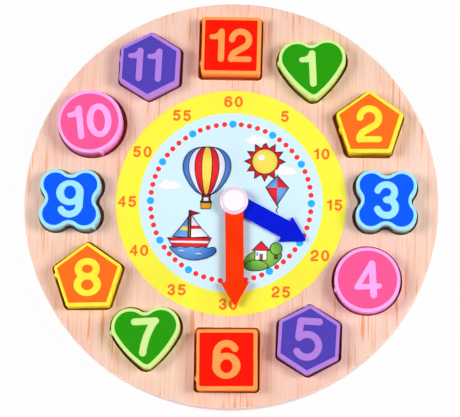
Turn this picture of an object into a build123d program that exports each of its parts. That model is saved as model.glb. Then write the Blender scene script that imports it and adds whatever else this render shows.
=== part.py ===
from build123d import *

import os
from math import acos, cos, degrees, pi, radians, sqrt, tan

# A geared teaching clock: a round board of two plywood sheets that lies on its back, twelve loose
# numbered blocks in cut-outs round its edge, and a printed dial whose two hands are geared 12 to 1.
# Origin: centre of the back face. +Z points out of the dial, +Y to twelve o'clock. Millimetres.

# ---------------------------------------------------------------- driving dimensions
board_diameter = 225.0
back_thick = 3.0
front_thick = 7.0
board_edge_round = 0.6
print_thick = 0.1

ring_margin = 26.0          # from the board's edge to the ring on which the blocks are centred
slot_gap = 1.4              # clearance round a block in its cut-out
block_thick = 13.0
block_edge_round = 0.45
border = 1.85               # light rim between a block's edge and its dark printed field
nib_radius = 1.2
nib_out = 0.9               # how far the stub of the holding tab stands out of a block's side

square_side = 28.8          # the shapes' sizes are those of the printed field, without its border
square_corner = 0.8
square_corner_share = 0.5   # how much of a growth of the square goes into its corners' radius
disc_radius = 15.8
hexagon_radius = 16.7
pentagon_radius = 17.2
lobe_radius = 6.4           # four-lobed flower
lobe_offset = 8.2
lobe_notch = 11.75          # from the centre to the bottom of the notch between two lobes
heart_lobe_radius = 8.3
heart_lobe_offset = 8.2
heart_notch_margin = 1.22   # from the top of a single numeral to the bottom of the notch
heart_tip_drop = 14.7
heart_tip_round = 2.5
heart_notch_round = 5.6
heart_side_start = -30.0    # degrees on the lobe where the side leaves it

print_margin = 23.9         # from the ring of blocks to the edge of the dial's print
minute_band = 12.7          # width of the printed ring that holds the minute numerals
numeral_margin = 6.3        # from the printed disc's edge out to the middle of the minute numerals
dot_margin = 6.2            # and in to the circle of dots
minute_dot_radius = 1.4
hour_dot_radius = 2.0
minute_numeral_tall = 6.25
minute_numeral_stroke = 1.28
minute_numeral_pitch = 5.7
minute_one_pitch = 4.2      # after a narrow 1

numeral_stroke = 3.8
pair_stroke = 3.5
pair_pitch = 10.5           # between the two digits of 10, 11 and 12
single_tall = 20.8
five_tall = 23.2
pair_tall = 19.1

arbor_x = 1.9               # the centre hole is bored a little right of the print's centre
arbor_y = 0.0
arbor_radius = 2.0
running_gap = 0.05          # radial clearance of a shaft in its bore
tube_wall = 1.05
bush_wall = 1.4
bush_flange_radius = 6.4
bush_flange_thick = 0.3
hand_gap = 0.1              # between pieces that turn over each other
hand_thick = 1.1
hand_washer_thick = 0.4
hand_washer_radius = 4.4

minute_hand_margin = 4.3    # from the minute hand's tip out to the edge of the dial's print
minute_hand_width = 9.8
minute_head_width = 15.4
minute_head_length = 13.6
minute_hand_angle = 178.0   # clockwise from twelve
hour_hand_margin = 4.7      # from the hour hand's tip out to the edge of the printed disc
hour_hand_width = 10.0
hour_head_width = 15.8
hour_head_length = 13.6
hour_hand_angle = 117.8
hand_corner_round = 0.7
hand_tip_round = 1.2

cap_radius = 7.65
cap_rise = 2.3
cap_rim = 0.7               # straight part of the cap's side
cap_shoulder_share = 0.8    # of the cap's rise, reached where its shoulder turns into the dome
cap_socket_depth = 1.3

gear_module = 0.6
pressure_angle = 25.0
addendum = 0.9              # in modules
dedendum = 1.2
tooth_foot = 0.3            # how far a tooth reaches into its wheel below the root circle
backlash = 0.12
pair_teeth = 60             # of the two gears of a pair together
first_reduction = 3         # from the minute pinion to the idler
second_reduction = 4        # from the idler to the hour wheel
wheel_thick = 1.6
wheel_gap = 0.4
washer_thick = 0.3
washer_rim = 2.0
pocket_headroom = 0.5       # over the hour wheel
pocket_clearance = 1.2      # round the large wheels
idler_pin_radius = 1.5
idler_pin_sink = 1.6
idler_angle = -90.0         # from the arbor to the idler, degrees from +X

cover_thick = 2.5
cover_clearance = 0.3
arbor_bearing_depth = 1.6
screw_count = 4
screw_shank_radius = 1.2
screw_head_radius = 2.4
screw_margin = 0.6          # from a screw's head to the cover's edge and to the pocket
screw_length = 6.0
screw_slot_width = 0.6
screw_slot_depth = 0.5

# Hour: shape; how its cut-out was sawn off its true place (x, y, degrees); how the block has slid in
# it (x and y as shares of the clearance, and degrees); how its field is printed off the block's middle
# (x, y); the bearing of its nib (None: worn away); the height of its numeral; how the dial's minute
# numeral beside it is set off its true place (x, y).
places = {
    12: ("square", (-2.3, -0.2, 0), (0.29, 0.4, 0), (-0.2, 0), 212, pair_tall, (0, 0.3)),
    1: ("heart", (-0.5, -1.05, 2.3), (0.2, 0.39, 1.3), (0, 0), 167, single_tall, (0.3, -0.1)),
    2: ("pentagon", (-1.0, -0.1, 0.5), (0.57, 0.12, 0.5), (-0.3, 0.25), 188, single_tall, (0.1, -0.3)),
    3: ("flower", (-2.8, 1.3, 0), (0.35, 0.1, 0), (0, 0), None, single_tall, (0.1, -0.6)),
    4: ("disc", (-0.6, 1.2, 0), (0.15, -0.3, 4.0), (0, 0), 194, single_tall, (0.2, -0.6)),
    5: ("hexagon", (0.5, -0.4, -0.6), (0, -0.1, -1.7), (0, 0), 97, five_tall, (0.2, -0.4)),
    6: ("square", (0.2, -0.1, 0.8), (0.18, -0.4, 0.5), (-0.25, 0), 212, single_tall, (0, -0.1)),
    7: ("heart", (-0.1, -1.15, 1.8), (0.1, 0, 2.2), (0, 0), 168, single_tall, (0.2, -0.3)),
    8: ("pentagon", (-0.9, -0.6, 1.5), (0.14, -0.26, 0.8), (-0.2, 0.15), 174, single_tall, (-0.3, 0.4)),
    9: ("flower", (0.1, -1.2, 0), (-0.5, 0, 0), (0, 0), 312, single_tall, (-0.2, -0.7)),
    10: ("disc", (-1.9, -1.1, 0), (-0.7, 0.2, 7.5), (-0.3, 0), 284, pair_tall, (-0.4, -0.8)),
    11: ("hexagon", (-2.8, 0.4, -0.6), (-0.2, -0.2, -1.0), (-0.3, 0), 168, pair_tall, (0.1, -0.5)),
}

# ---------------------------------------------------------------- worked-out heights and centres
hour_step = 360 / 12
minute_step = 360 / 60

board_radius = board_diameter / 2
ring_radius = board_radius - ring_margin
ring_print_radius = ring_radius - print_margin
disc_print_radius = ring_print_radius - minute_band
dot_circle_radius = disc_print_radius - dot_margin
minute_numeral_radius = disc_print_radius + numeral_margin
minute_hand_length = ring_print_radius - minute_hand_margin
hour_hand_length = disc_print_radius - hour_hand_margin

dial_z = back_thick + front_thick
print_z = dial_z + print_thick
block_top = back_thick + block_thick

# Both pairs of gears have the same centres, so their teeth add up to the same number.
minute_pinion_teeth = pair_teeth // (1 + first_reduction)
idler_wheel_teeth = pair_teeth - minute_pinion_teeth
idler_pinion_teeth = pair_teeth // (1 + second_reduction)
hour_wheel_teeth = pair_teeth - idler_pinion_teeth

centre_distance = gear_module * pair_teeth / 2
arbor = Vector(arbor_x, arbor_y)
idler = arbor + Vector(centre_distance, 0).rotate(Axis.Z, idler_angle)

tube_bore = arbor_radius + running_gap
tube_radius = tube_bore + tube_wall
bush_bore = tube_radius + running_gap
bush_radius = bush_bore + bush_wall

flange_top = print_z + bush_flange_thick
hour_hand_z = flange_top + hand_gap
hand_washer_z = hour_hand_z + hand_thick + hand_gap
minute_hand_z = hand_washer_z + hand_washer_thick
cap_z = minute_hand_z + hand_thick

washer_z = back_thick
pinion_z = washer_z + washer_thick + hand_gap
hour_wheel_z = pinion_z + wheel_thick + wheel_gap
pocket_top = hour_wheel_z + wheel_thick + pocket_headroom


def tip_radius(teeth):
    return gear_module * (teeth / 2 + addendum)


# The pocket is the smallest round that clears both large wheels.
pocket_span = centre_distance + tip_radius(idler_wheel_teeth) + tip_radius(hour_wheel_teeth)
pocket_radius = pocket_span / 2 + pocket_clearance
pocket_shift = pocket_span / 2 - tip_radius(hour_wheel_teeth)
pocket_centre = arbor + Vector(pocket_shift, 0).rotate(Axis.Z, idler_angle)
screw_circle = pocket_radius + screw_margin + screw_head_radius
cover_radius = screw_circle + screw_head_radius + screw_margin
cover_z = back_thick - cover_thick


os.makedirs("parts", exist_ok=True)


def keep(piece, name):
    """Label a finished piece and write it."""
    piece.part.label = name
    export_step(piece.part, f"parts/{name}.step")


def bearing(direction):
    """Degrees from +X, anticlockwise."""
    return Vector(1, 0).get_signed_angle(direction, Vector(0, 0, 1))


def hour_place(hour, radius):
    """Where an hour stands on a circle round the dial's centre."""
    return Vector(0, radius).rotate(Axis.Z, -hour_step * hour)


def cutout_place(hour):
    x, y, turn = places[hour][1]
    return Location(hour_place(hour, ring_radius) + Vector(x, y), (0, 0, turn))


def block_place(hour):
    """Where a block lies in its cut-out, whose outline it follows with the clearance all round."""
    x, y, turn = places[hour][1]
    slid_x, slid_y, slid_turn = places[hour][2]
    slid = Vector(slid_x, slid_y) * slot_gap
    return Location(hour_place(hour, ring_radius) + Vector(x, y) + slid, (0, 0, turn + slid_turn))


# ---------------------------------------------------------------- outlines of the blocks
# Each function draws the printed field, grown by an amount: the border for the block's own outline,
# and the clearance besides for its cut-out.
def square(grow):
    with BuildSketch() as outline:
        side = square_side + 2 * grow
        RectangleRounded(side, side, square_corner + square_corner_share * grow)
    return outline.sketch


def disc(grow):
    with BuildSketch() as outline:
        Circle(disc_radius + grow)
    return outline.sketch


def polygon(radius, sides, grow):
    with BuildSketch() as outline:
        RegularPolygon(radius, sides, rotation=90)
        if grow:
            offset(amount=grow, kind=Kind.ARC)
    return outline.sketch


def hexagon(grow):
    return polygon(hexagon_radius, 6, grow)


def pentagon(grow):
    return polygon(pentagon_radius, 5, grow)


def flower(grow):
    """Four lobes, joined by hollow arcs that are tangent to them."""
    reach = lobe_notch - lobe_offset
    hollow_radius = (lobe_offset**2 + reach**2 - lobe_radius**2) / (2 * (lobe_radius - reach))
    hollow_centre = lobe_notch + hollow_radius
    share = (lobe_radius + grow) / (lobe_radius + hollow_radius)
    touch_x = lobe_offset * (1 - share)
    touch_y = lobe_offset + (hollow_centre - lobe_offset) * share
    with BuildSketch() as outline:
        Rectangle(2 * lobe_offset, 2 * lobe_offset)
        Rectangle(2 * touch_x, 2 * touch_y)
        Rectangle(2 * touch_y, 2 * touch_x)
        with GridLocations(2 * lobe_offset, 2 * lobe_offset, 2, 2):
            Circle(lobe_radius + grow)
        with PolarLocations(hollow_centre, 4):
            Circle(hollow_radius - grow, mode=Mode.SUBTRACT)
    return outline.sketch


def heart(grow):
    """Two lobes, a hollow notch and a round tip, with bowed sides, all tangent to each other."""
    notch_reach = heart_lobe_radius + heart_notch_round
    notch = Vector(0, single_tall / 2 + heart_notch_margin + heart_notch_round)
    lobe = Vector(heart_lobe_offset, notch.Y - sqrt(notch_reach**2 - heart_lobe_offset**2))
    tip = Vector(0, heart_tip_round - heart_tip_drop)
    leave = Vector(1, 0).rotate(Axis.Z, heart_side_start)
    across = (lobe - tip).dot(leave)
    square_reach = (lobe - tip + leave * heart_lobe_radius).length ** 2 - heart_tip_round**2
    side_radius = square_reach / (2 * (across + heart_lobe_radius - heart_tip_round))
    side = lobe - leave * (side_radius - heart_lobe_radius)
    notch_angle = bearing(notch - lobe)
    tip_angle = bearing(tip - side)
    with BuildSketch() as outline:
        with BuildLine():
            CenterArc(lobe, heart_lobe_radius + grow, heart_side_start, notch_angle - heart_side_start)
            CenterArc(notch, heart_notch_round - grow, notch_angle + 180, 90 - notch_angle)
            CenterArc(side, side_radius + grow, tip_angle, heart_side_start - tip_angle)
            CenterArc(tip, heart_tip_round + grow, -90, 90 + tip_angle)
            mirror(about=Plane.YZ)
        make_face()
    return outline.sketch


shapes = {
    "square": square,
    "disc": disc,
    "hexagon": hexagon,
    "pentagon": pentagon,
    "flower": flower,
    "heart": heart,
}
fields = {name: draw(0) for name, draw in shapes.items()}
outlines = {name: draw(border) for name, draw in shapes.items()}
cutouts = {name: draw(border + slot_gap) for name, draw in shapes.items()}


def nib_centre(outline, toward):
    """Where a nib's round lies, so that it stands out of the outline at this bearing."""
    far = Vector(board_radius, 0).rotate(Axis.Z, toward)
    inside = Edge.make_line(Vector(0, 0), far).intersect(outline.face())
    rim_point = inside.vertices().sort_by_distance(far)[0].center()
    return rim_point - rim_point.normalized() * (nib_radius - nib_out)


# ---------------------------------------------------------------- numerals
# Digits are strokes with round ends on a skeleton 17 units tall, centred on the origin:
# line: two ends and weight; arc: centre, radius, first angle, sweep and weight;
# disc and hole: centre and half-axes of the middle of a closed stroke.
digit_strokes = {
    "0": [("disc", (0, 0), 5.5, 8.5), ("hole", (0, 0), 5.3, 8.7)],
    "1": [
        ("line", (0, 8.5), (0, -8.5), 1.0),
        ("line", (-5.7, 5.2), (0, 5.2), 0.8),
        ("arc", (-5.2, 10.6), 5.4, -90, 70, 0.8),
    ],
    "2": [
        ("arc", (0, 3.5), 5.1, -58, 236, 1.0),
        ("line", (2.7, -0.82), (-2.95, -4.2), 1.0),
        ("arc", (-0.25, -8.5), 5.1, 122, 58, 1.0),
        ("line", (-5.35, -8.5), (5.2, -8.5), 0.9),
    ],
    "3": [
        ("arc", (0, 3.4), 5.1, 90, 70, 0.96),
        ("arc", (0.1, 4.3), 4.2, -90, 180, 1.0),
        ("line", (0.1, 0.1), (-0.5, 0.1), 0.8),
        ("arc", (0.5, -4.2), 4.3, -90, 180, 1.04),
        ("arc", (0.2, -3.1), 5.4, 202, 68, 1.0),
    ],
    "4": [
        ("line", (2.5, 8.5), (-5.6, -3.5), 0.76),
        ("line", (-5.8, -3.8), (6.2, -3.8), 0.76),
        ("line", (2.9, 8.5), (2.9, -8.5), 1.0),
    ],
    "5": [
        ("line", (-4.1, 8.5), (4.5, 8.5), 1.0),
        ("line", (-4.1, 8.5), (-4.8, 1.0), 1.0),
        ("arc", (-0.6, -3.1), 5.4, -148, 285, 1.0),
    ],
    "6": [
        ("arc", (0, 3.3), 5.2, 30, 142, 1.0),
        ("line", (-5.15, 4.0), (-5.35, -3.45), 1.1),
        ("disc", (0, -3.45), 5.65, 5.1),
        ("hole", (0, -3.65), 5.1, 5.6),
    ],
    "7": [
        ("line", (-5.8, 8.5), (5.6, 8.5), 1.0),
        ("arc", (36.7, -14.6), 39.1, 143.8, 27.2, 1.04),
    ],
    "8": [
        ("disc", (0, 4.4), 4.95, 4.15),
        ("disc", (0, -4.05), 5.5, 4.5),
        ("hole", (0, 4.45), 4.75, 4.25),
        ("hole", (0, -4.25), 5.15, 4.75),
    ],
    "9": [
        ("arc", (0, -3.3), 5.2, 210, 142, 1.0),
        ("line", (5.15, -4.0), (5.35, 3.45), 1.1),
        ("disc", (0, 3.45), 5.65, 5.1),
        ("hole", (0, 3.65), 5.1, 5.6),
    ],
}
stem_top, stem_foot = digit_strokes["1"][0][1:3]
skeleton_tall = stem_top[1] - stem_foot[1]


def draw_digit(digit, origin, scale, stroke):
    """Draw one digit of the numerals into the sketch that is being built."""
    for kind, first, *rest in digit_strokes[digit]:
        start = origin + Vector(first) * scale
        if kind == "line":
            end = origin + Vector(rest[0]) * scale
            middle = (start + end) / 2
            with Locations(middle):
                SlotCenterToCenter((end - start).length, stroke * rest[1], rotation=bearing(end - start))
        elif kind == "arc":
            radius, angle, sweep, weight = rest
            SlotArc(CenterArc(start, radius * scale, angle, sweep), stroke * weight)
        else:
            grow = stroke / 2 if kind == "disc" else -stroke / 2
            with Locations(start):
                Ellipse(
                    rest[0] * scale + grow,
                    rest[1] * scale + grow,
                    mode=Mode.ADD if kind == "disc" else Mode.SUBTRACT,
                )


def numeral(text, tall, stroke, pitch):
    """A number of one or two digits, centred on the origin."""
    scale = (tall - stroke) / skeleton_tall
    shift = pitch * (len(text) - 1) / 2
    digits = []
    for index, digit in enumerate(text):
        with BuildSketch() as drawn:
            draw_digit(digit, Vector(index * pitch - shift, 0), scale, stroke)
        digits.append(drawn.sketch)
    with BuildSketch() as number:
        for digit in digits:
            add(digit)
    return number.sketch


# ---------------------------------------------------------------- board
with BuildPart() as back_panel:
    with BuildSketch():
        Circle(board_radius)
    extrude(amount=back_thick)
    with BuildSketch(Plane.XY):
        with Locations(pocket_centre):
            Circle(cover_radius + cover_clearance)
    extrude(amount=back_thick, mode=Mode.SUBTRACT)
    rim = back_panel.edges().filter_by(GeomType.CIRCLE).filter_by(lambda edge: edge.radius == board_radius)
    fillet(rim.sort_by(Axis.Z)[0], board_edge_round)
keep(back_panel, "back_panel")

with BuildPart() as front_panel:
    with BuildSketch(Plane.XY.offset(back_thick)):
        Circle(board_radius)
    extrude(amount=front_thick)
    fillet(front_panel.edges().sort_by(Axis.Z)[-1], board_edge_round)
    for hour, (shape, *_) in places.items():
        with BuildSketch(Plane.XY.offset(back_thick)):
            with Locations(cutout_place(hour)):
                add(cutouts[shape])
        extrude(amount=front_thick, mode=Mode.SUBTRACT)
    with BuildSketch(Plane.XY.offset(back_thick)):
        with Locations(pocket_centre):
            Circle(pocket_radius)
    extrude(amount=pocket_top - back_thick, mode=Mode.SUBTRACT)
    with BuildSketch(Plane.XY.offset(back_thick)):
        with Locations(arbor):
            Circle(bush_radius)
    extrude(amount=front_thick, mode=Mode.SUBTRACT)
    with BuildSketch(Plane.XY.offset(back_thick)):
        with Locations(pocket_centre):
            with PolarLocations(screw_circle, screw_count, start_angle=180 / screw_count):
                Circle(screw_shank_radius)
    extrude(amount=cover_z + screw_length - back_thick, mode=Mode.SUBTRACT)
keep(front_panel, "front_panel")

# ---------------------------------------------------------------- blocks and their printed fields
for hour, (shape, _, _, print_shift, nib_bearing, tall, _) in places.items():
    with BuildPart() as block:
        with BuildSketch(Plane.XY.offset(back_thick)):
            with Locations(block_place(hour)):
                add(outlines[shape])
        extrude(amount=block_thick)
        fillet(block.faces().sort_by(Axis.Z)[-1].edges(), block_edge_round)
        if nib_bearing is not None:
            with BuildSketch(Plane.XY.offset(back_thick)):
                with Locations(block_place(hour)):
                    with Locations(nib_centre(outlines[shape], nib_bearing)):
                        Circle(nib_radius)
            extrude(amount=block_thick - block_edge_round)
    keep(block, f"block_{hour:02d}")

    text = str(hour)
    stroke = numeral_stroke if len(text) == 1 else pair_stroke
    number = numeral(text, tall, stroke, pair_pitch)
    with BuildPart() as number_print:
        with BuildSketch(Plane.XY.offset(block_top)):
            with Locations(block_place(hour)):
                with Locations(print_shift):
                    add(fields[shape])
                    add(number, mode=Mode.SUBTRACT)
        extrude(amount=print_thick)
    keep(number_print, f"number_print_{hour:02d}")

# ---------------------------------------------------------------- printed dial
bush_hole = bush_flange_radius + hand_gap

with BuildSketch() as hour_dot_sketch:
    for hour in places:
        with Locations(hour_place(hour, dot_circle_radius)):
            Circle(hour_dot_radius)

with BuildSketch() as minute_dot_sketch:
    for hour in places:
        for minute in range(1, 5):
            with Locations(hour_place(hour, dot_circle_radius).rotate(Axis.Z, -minute_step * minute)):
                Circle(minute_dot_radius)

with BuildSketch() as minute_numeral_sketch:
    for hour, (*_, numeral_shift) in places.items():
        text = str(5 * hour)
        pitch = minute_one_pitch if text[0] == "1" else minute_numeral_pitch
        minutes = numeral(text, minute_numeral_tall, minute_numeral_stroke, pitch)
        with Locations(hour_place(hour, minute_numeral_radius) + Vector(numeral_shift)):
            add(minutes)

with BuildPart() as dial_disc_print:
    with BuildSketch(Plane.XY.offset(dial_z)):
        Circle(disc_print_radius)
        with Locations(arbor):
            Circle(bush_hole, mode=Mode.SUBTRACT)
        add(hour_dot_sketch.sketch, mode=Mode.SUBTRACT)
        add(minute_dot_sketch.sketch, mode=Mode.SUBTRACT)
    extrude(amount=print_thick)
keep(dial_disc_print, "dial_disc_print")

with BuildPart() as dial_ring_print:
    with BuildSketch(Plane.XY.offset(dial_z)):
        Circle(ring_print_radius)
        Circle(disc_print_radius, mode=Mode.SUBTRACT)
        add(minute_numeral_sketch.sketch, mode=Mode.SUBTRACT)
    extrude(amount=print_thick)
keep(dial_ring_print, "dial_ring_print")

for name, drawing in (
    ("hour_dots", hour_dot_sketch),
    ("minute_dots", minute_dot_sketch),
    ("minute_numerals", minute_numeral_sketch),
):
    with BuildPart() as ink:
        with BuildSketch(Plane.XY.offset(dial_z)):
            add(drawing.sketch)
        extrude(amount=print_thick)
    keep(ink, name)


# ---------------------------------------------------------------- hands and cap
def arrow_outline(length, width, head_width, head_length, clockwise):
    """A hand with a round hub end and an arrow head, turned clockwise from twelve."""
    neck = length - head_length
    with BuildSketch() as outline:
        with BuildLine():
            Polyline(
                (width / 2, 0),
                (width / 2, neck),
                (head_width / 2, neck),
                (0, length),
                (-head_width / 2, neck),
                (-width / 2, neck),
                (-width / 2, 0),
            )
            CenterArc((0, 0), width / 2, 180, 180)
        make_face()
        tip = outline.vertices().sort_by(Axis.Y)[-1]
        barbs = outline.vertices().sort_by(Axis.X)
        fillet(tip, hand_tip_round)
        fillet([barbs[0], barbs[-1]], hand_corner_round)
    with BuildSketch() as turned:
        with Locations(Location(arbor, (0, 0, -clockwise))):
            add(outline.sketch)
    return turned.sketch


with BuildPart() as hour_hand:
    with BuildSketch(Plane.XY.offset(hour_hand_z)):
        add(
            arrow_outline(
                hour_hand_length, hour_hand_width, hour_head_width, hour_head_length, hour_hand_angle
            )
        )
        with Locations(arbor):
            Circle(tube_radius, mode=Mode.SUBTRACT)
    extrude(amount=hand_thick)
keep(hour_hand, "hour_hand")

with BuildPart() as minute_hand:
    with BuildSketch(Plane.XY.offset(minute_hand_z)):
        add(
            arrow_outline(
                minute_hand_length,
                minute_hand_width,
                minute_head_width,
                minute_head_length,
                minute_hand_angle,
            )
        )
        with Locations(arbor):
            Circle(arbor_radius, mode=Mode.SUBTRACT)
    extrude(amount=hand_thick)
keep(minute_hand, "minute_hand")

with BuildPart() as hand_washer:
    with BuildSketch(Plane.XY.offset(hand_washer_z)):
        with Locations(arbor):
            Circle(hand_washer_radius)
            Circle(arbor_radius, mode=Mode.SUBTRACT)
    extrude(amount=hand_washer_thick)
keep(hand_washer, "hand_washer")

# The cap is turned: a short straight rim, a rounded shoulder and a low dome.
cap_shoulder = cap_radius - (cap_rise - cap_rim)
with BuildPart() as hub_cap:
    with BuildSketch(Plane(arbor, x_dir=(1, 0, 0), z_dir=(0, -1, 0))):
        with BuildLine():
            Polyline(
                (0, cap_z + cap_socket_depth),
                (arbor_radius, cap_z + cap_socket_depth),
                (arbor_radius, cap_z),
                (cap_radius, cap_z),
                (cap_radius, cap_z + cap_rim),
            )
            Spline(
                (cap_radius, cap_z + cap_rim),
                (cap_shoulder, cap_z + cap_shoulder_share * cap_rise),
                (0, cap_z + cap_rise),
                tangents=((0, 1), (-1, 0)),
            )
            Line((0, cap_z + cap_rise), (0, cap_z + cap_socket_depth))
        make_face()
    revolve(axis=Axis(arbor, (0, 0, 1)))
keep(hub_cap, "hub_cap")


# ---------------------------------------------------------------- gears
def gear_face(teeth, first_tooth):
    """A spur gear with involute flanks; one tooth is centred at first_tooth degrees."""
    pitch_radius = gear_module * teeth / 2
    base_radius = pitch_radius * cos(radians(pressure_angle))
    root_radius = pitch_radius - gear_module * dedendum
    flank_start = max(base_radius, root_radius)
    outer_radius = tip_radius(teeth)
    pressure = radians(pressure_angle)
    half_at_pitch = pi / (2 * teeth) - backlash / (4 * pitch_radius)

    def half_angle(radius):
        slope = acos(min(1, base_radius / radius))
        return degrees(half_at_pitch + tan(pressure) - pressure - tan(slope) + slope)

    with BuildSketch() as gear:
        Circle(root_radius)
        for tooth in range(teeth):
            middle = first_tooth + 360 * tooth / teeth
            flanks = []
            for side in (-1, 1):
                flanks.append(
                    [
                        Vector(radius, 0).rotate(Axis.Z, middle + side * half_angle(radius))
                        for radius in (flank_start, (flank_start + outer_radius) / 2, outer_radius)
                    ]
                )
            right, left = flanks
            tip = Vector(outer_radius, 0).rotate(Axis.Z, middle)
            roots = [
                Vector(root_radius - tooth_foot, 0).rotate(Axis.Z, middle + side * half_angle(flank_start))
                for side in (-1, 1)
            ]
            with BuildLine():
                Line(roots[0], right[0])
                ThreePointArc(*right)
                ThreePointArc(right[-1], tip, left[-1])
                ThreePointArc(*reversed(left))
                Polyline(left[0], roots[1], roots[0])
            make_face()
    return gear.sketch


toward_idler = idler_angle
toward_arbor = idler_angle + 180
pinion_face = gear_face(minute_pinion_teeth, toward_idler)
idler_wheel_face = gear_face(idler_wheel_teeth, toward_arbor + 180 / idler_wheel_teeth)
idler_pinion_face = gear_face(idler_pinion_teeth, toward_arbor + 180 / idler_pinion_teeth)
hour_wheel_face = gear_face(hour_wheel_teeth, toward_idler)

with BuildPart() as minute_arbor:
    with BuildSketch(Plane.XY.offset(back_thick - arbor_bearing_depth + hand_gap)):
        with Locations(arbor):
            Circle(arbor_radius)
    extrude(amount=cap_z + cap_socket_depth - back_thick + arbor_bearing_depth - hand_gap)
keep(minute_arbor, "minute_arbor")

with BuildPart() as minute_pinion:
    with BuildSketch(Plane.XY.offset(pinion_z)):
        with Locations(arbor):
            add(pinion_face)
            Circle(arbor_radius, mode=Mode.SUBTRACT)
    extrude(amount=wheel_thick)
keep(minute_pinion, "minute_pinion")

with BuildPart() as idler_gear:
    with BuildSketch(Plane.XY.offset(pinion_z)):
        with Locations(idler):
            add(idler_wheel_face)
            Circle(idler_pin_radius + running_gap, mode=Mode.SUBTRACT)
    extrude(amount=wheel_thick)
    with BuildSketch(Plane.XY.offset(pinion_z + wheel_thick)):
        with Locations(idler):
            add(idler_pinion_face)
            Circle(idler_pin_radius + running_gap, mode=Mode.SUBTRACT)
    extrude(amount=wheel_gap + wheel_thick)
keep(idler_gear, "idler_gear")

with BuildPart() as hour_wheel:
    with BuildSketch(Plane.XY.offset(hour_wheel_z)):
        with Locations(arbor):
            add(hour_wheel_face)
    extrude(amount=wheel_thick)
    with BuildSketch(Plane.XY.offset(hour_wheel_z)):
        with Locations(arbor):
            Circle(tube_radius)
    extrude(amount=hour_hand_z + hand_thick - hour_wheel_z)
    with BuildSketch(Plane.XY.offset(hour_wheel_z)):
        with Locations(arbor):
            Circle(tube_bore)
    extrude(amount=hour_hand_z + hand_thick - hour_wheel_z, mode=Mode.SUBTRACT)
keep(hour_wheel, "hour_wheel")

# ---------------------------------------------------------------- what carries the gears
with BuildPart() as centre_bush:
    with BuildSketch(Plane.XY.offset(pocket_top)):
        with Locations(arbor):
            Circle(bush_radius)
    extrude(amount=dial_z - pocket_top)
    with BuildSketch(Plane.XY.offset(dial_z)):
        with Locations(arbor):
            Circle(bush_flange_radius)
    extrude(amount=flange_top - dial_z)
    with BuildSketch(Plane.XY.offset(pocket_top)):
        with Locations(arbor):
            Circle(bush_bore)
    extrude(amount=flange_top - pocket_top, mode=Mode.SUBTRACT)
keep(centre_bush, "centre_bush")

with BuildPart() as friction_washer:
    with BuildSketch(Plane.XY.offset(washer_z)):
        with Locations(arbor):
            Circle(tube_bore + washer_rim)
            Circle(tube_bore, mode=Mode.SUBTRACT)
    extrude(amount=washer_thick)
keep(friction_washer, "friction_washer")

with BuildPart() as idler_pin:
    with BuildSketch(Plane.XY.offset(back_thick - idler_pin_sink)):
        with Locations(idler):
            Circle(idler_pin_radius)
    extrude(amount=pocket_top - hand_gap - back_thick + idler_pin_sink)
keep(idler_pin, "idler_pin")

with BuildPart() as gear_cover:
    with BuildSketch(Plane.XY.offset(cover_z)):
        with Locations(pocket_centre):
            Circle(cover_radius)
    extrude(amount=cover_thick)
    with BuildSketch(Plane.XY.offset(back_thick)):
        with Locations(idler):
            Circle(idler_pin_radius + washer_rim)
    extrude(amount=washer_thick)
    with BuildSketch(Plane.XY.offset(back_thick + washer_thick)):
        with Locations(idler):
            Circle(idler_pin_radius)
    extrude(amount=-washer_thick - idler_pin_sink, mode=Mode.SUBTRACT)
    with BuildSketch(Plane.XY.offset(back_thick)):
        with Locations(arbor):
            Circle(arbor_radius + running_gap)
    extrude(amount=-arbor_bearing_depth, mode=Mode.SUBTRACT)
    with Locations(Plane.XY.offset(cover_z)):
        with Locations(pocket_centre):
            with PolarLocations(screw_circle, screw_count, start_angle=180 / screw_count):
                Cylinder(
                    screw_shank_radius,
                    cover_thick,
                    align=(Align.CENTER, Align.CENTER, Align.MIN),
                    mode=Mode.SUBTRACT,
                )
                Cone(
                    screw_head_radius,
                    screw_shank_radius,
                    screw_head_radius - screw_shank_radius,
                    align=(Align.CENTER, Align.CENTER, Align.MIN),
                    mode=Mode.SUBTRACT,
                )
keep(gear_cover, "gear_cover")

with BuildPart() as cover_screws:
    with Locations(Plane.XY.offset(cover_z)):
        with Locations(pocket_centre):
            with PolarLocations(screw_circle, screw_count, start_angle=180 / screw_count):
                Cylinder(screw_shank_radius, screw_length, align=(Align.CENTER, Align.CENTER, Align.MIN))
                Cone(
                    screw_head_radius,
                    screw_shank_radius,
                    screw_head_radius - screw_shank_radius,
                    align=(Align.CENTER, Align.CENTER, Align.MIN),
                )
                Box(
                    2 * screw_head_radius,
                    screw_slot_width,
                    2 * screw_slot_depth,
                    mode=Mode.SUBTRACT,
                )
keep(cover_screws, "cover_screws")
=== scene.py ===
# %% [markdown]
# # A geared teaching clock
#
# The clock lies on its back: a round board of two plywood sheets, twelve loose painted blocks that
# stand in cut-outs round its edge, a dial printed straight on the wood, two plastic hands and a cap.
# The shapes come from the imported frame, so most of this script is about finishes: bare plywood,
# paint, ink, moulded plastic and a little metal. What is modelled here is the picture on the dial.
# Everything is in metres, in the frame's own axes: +Z out of the dial, +Y to twelve o'clock.

# %% Load the frame
import math

import bmesh
import bpy
from mathutils import Matrix, Vector


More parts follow.
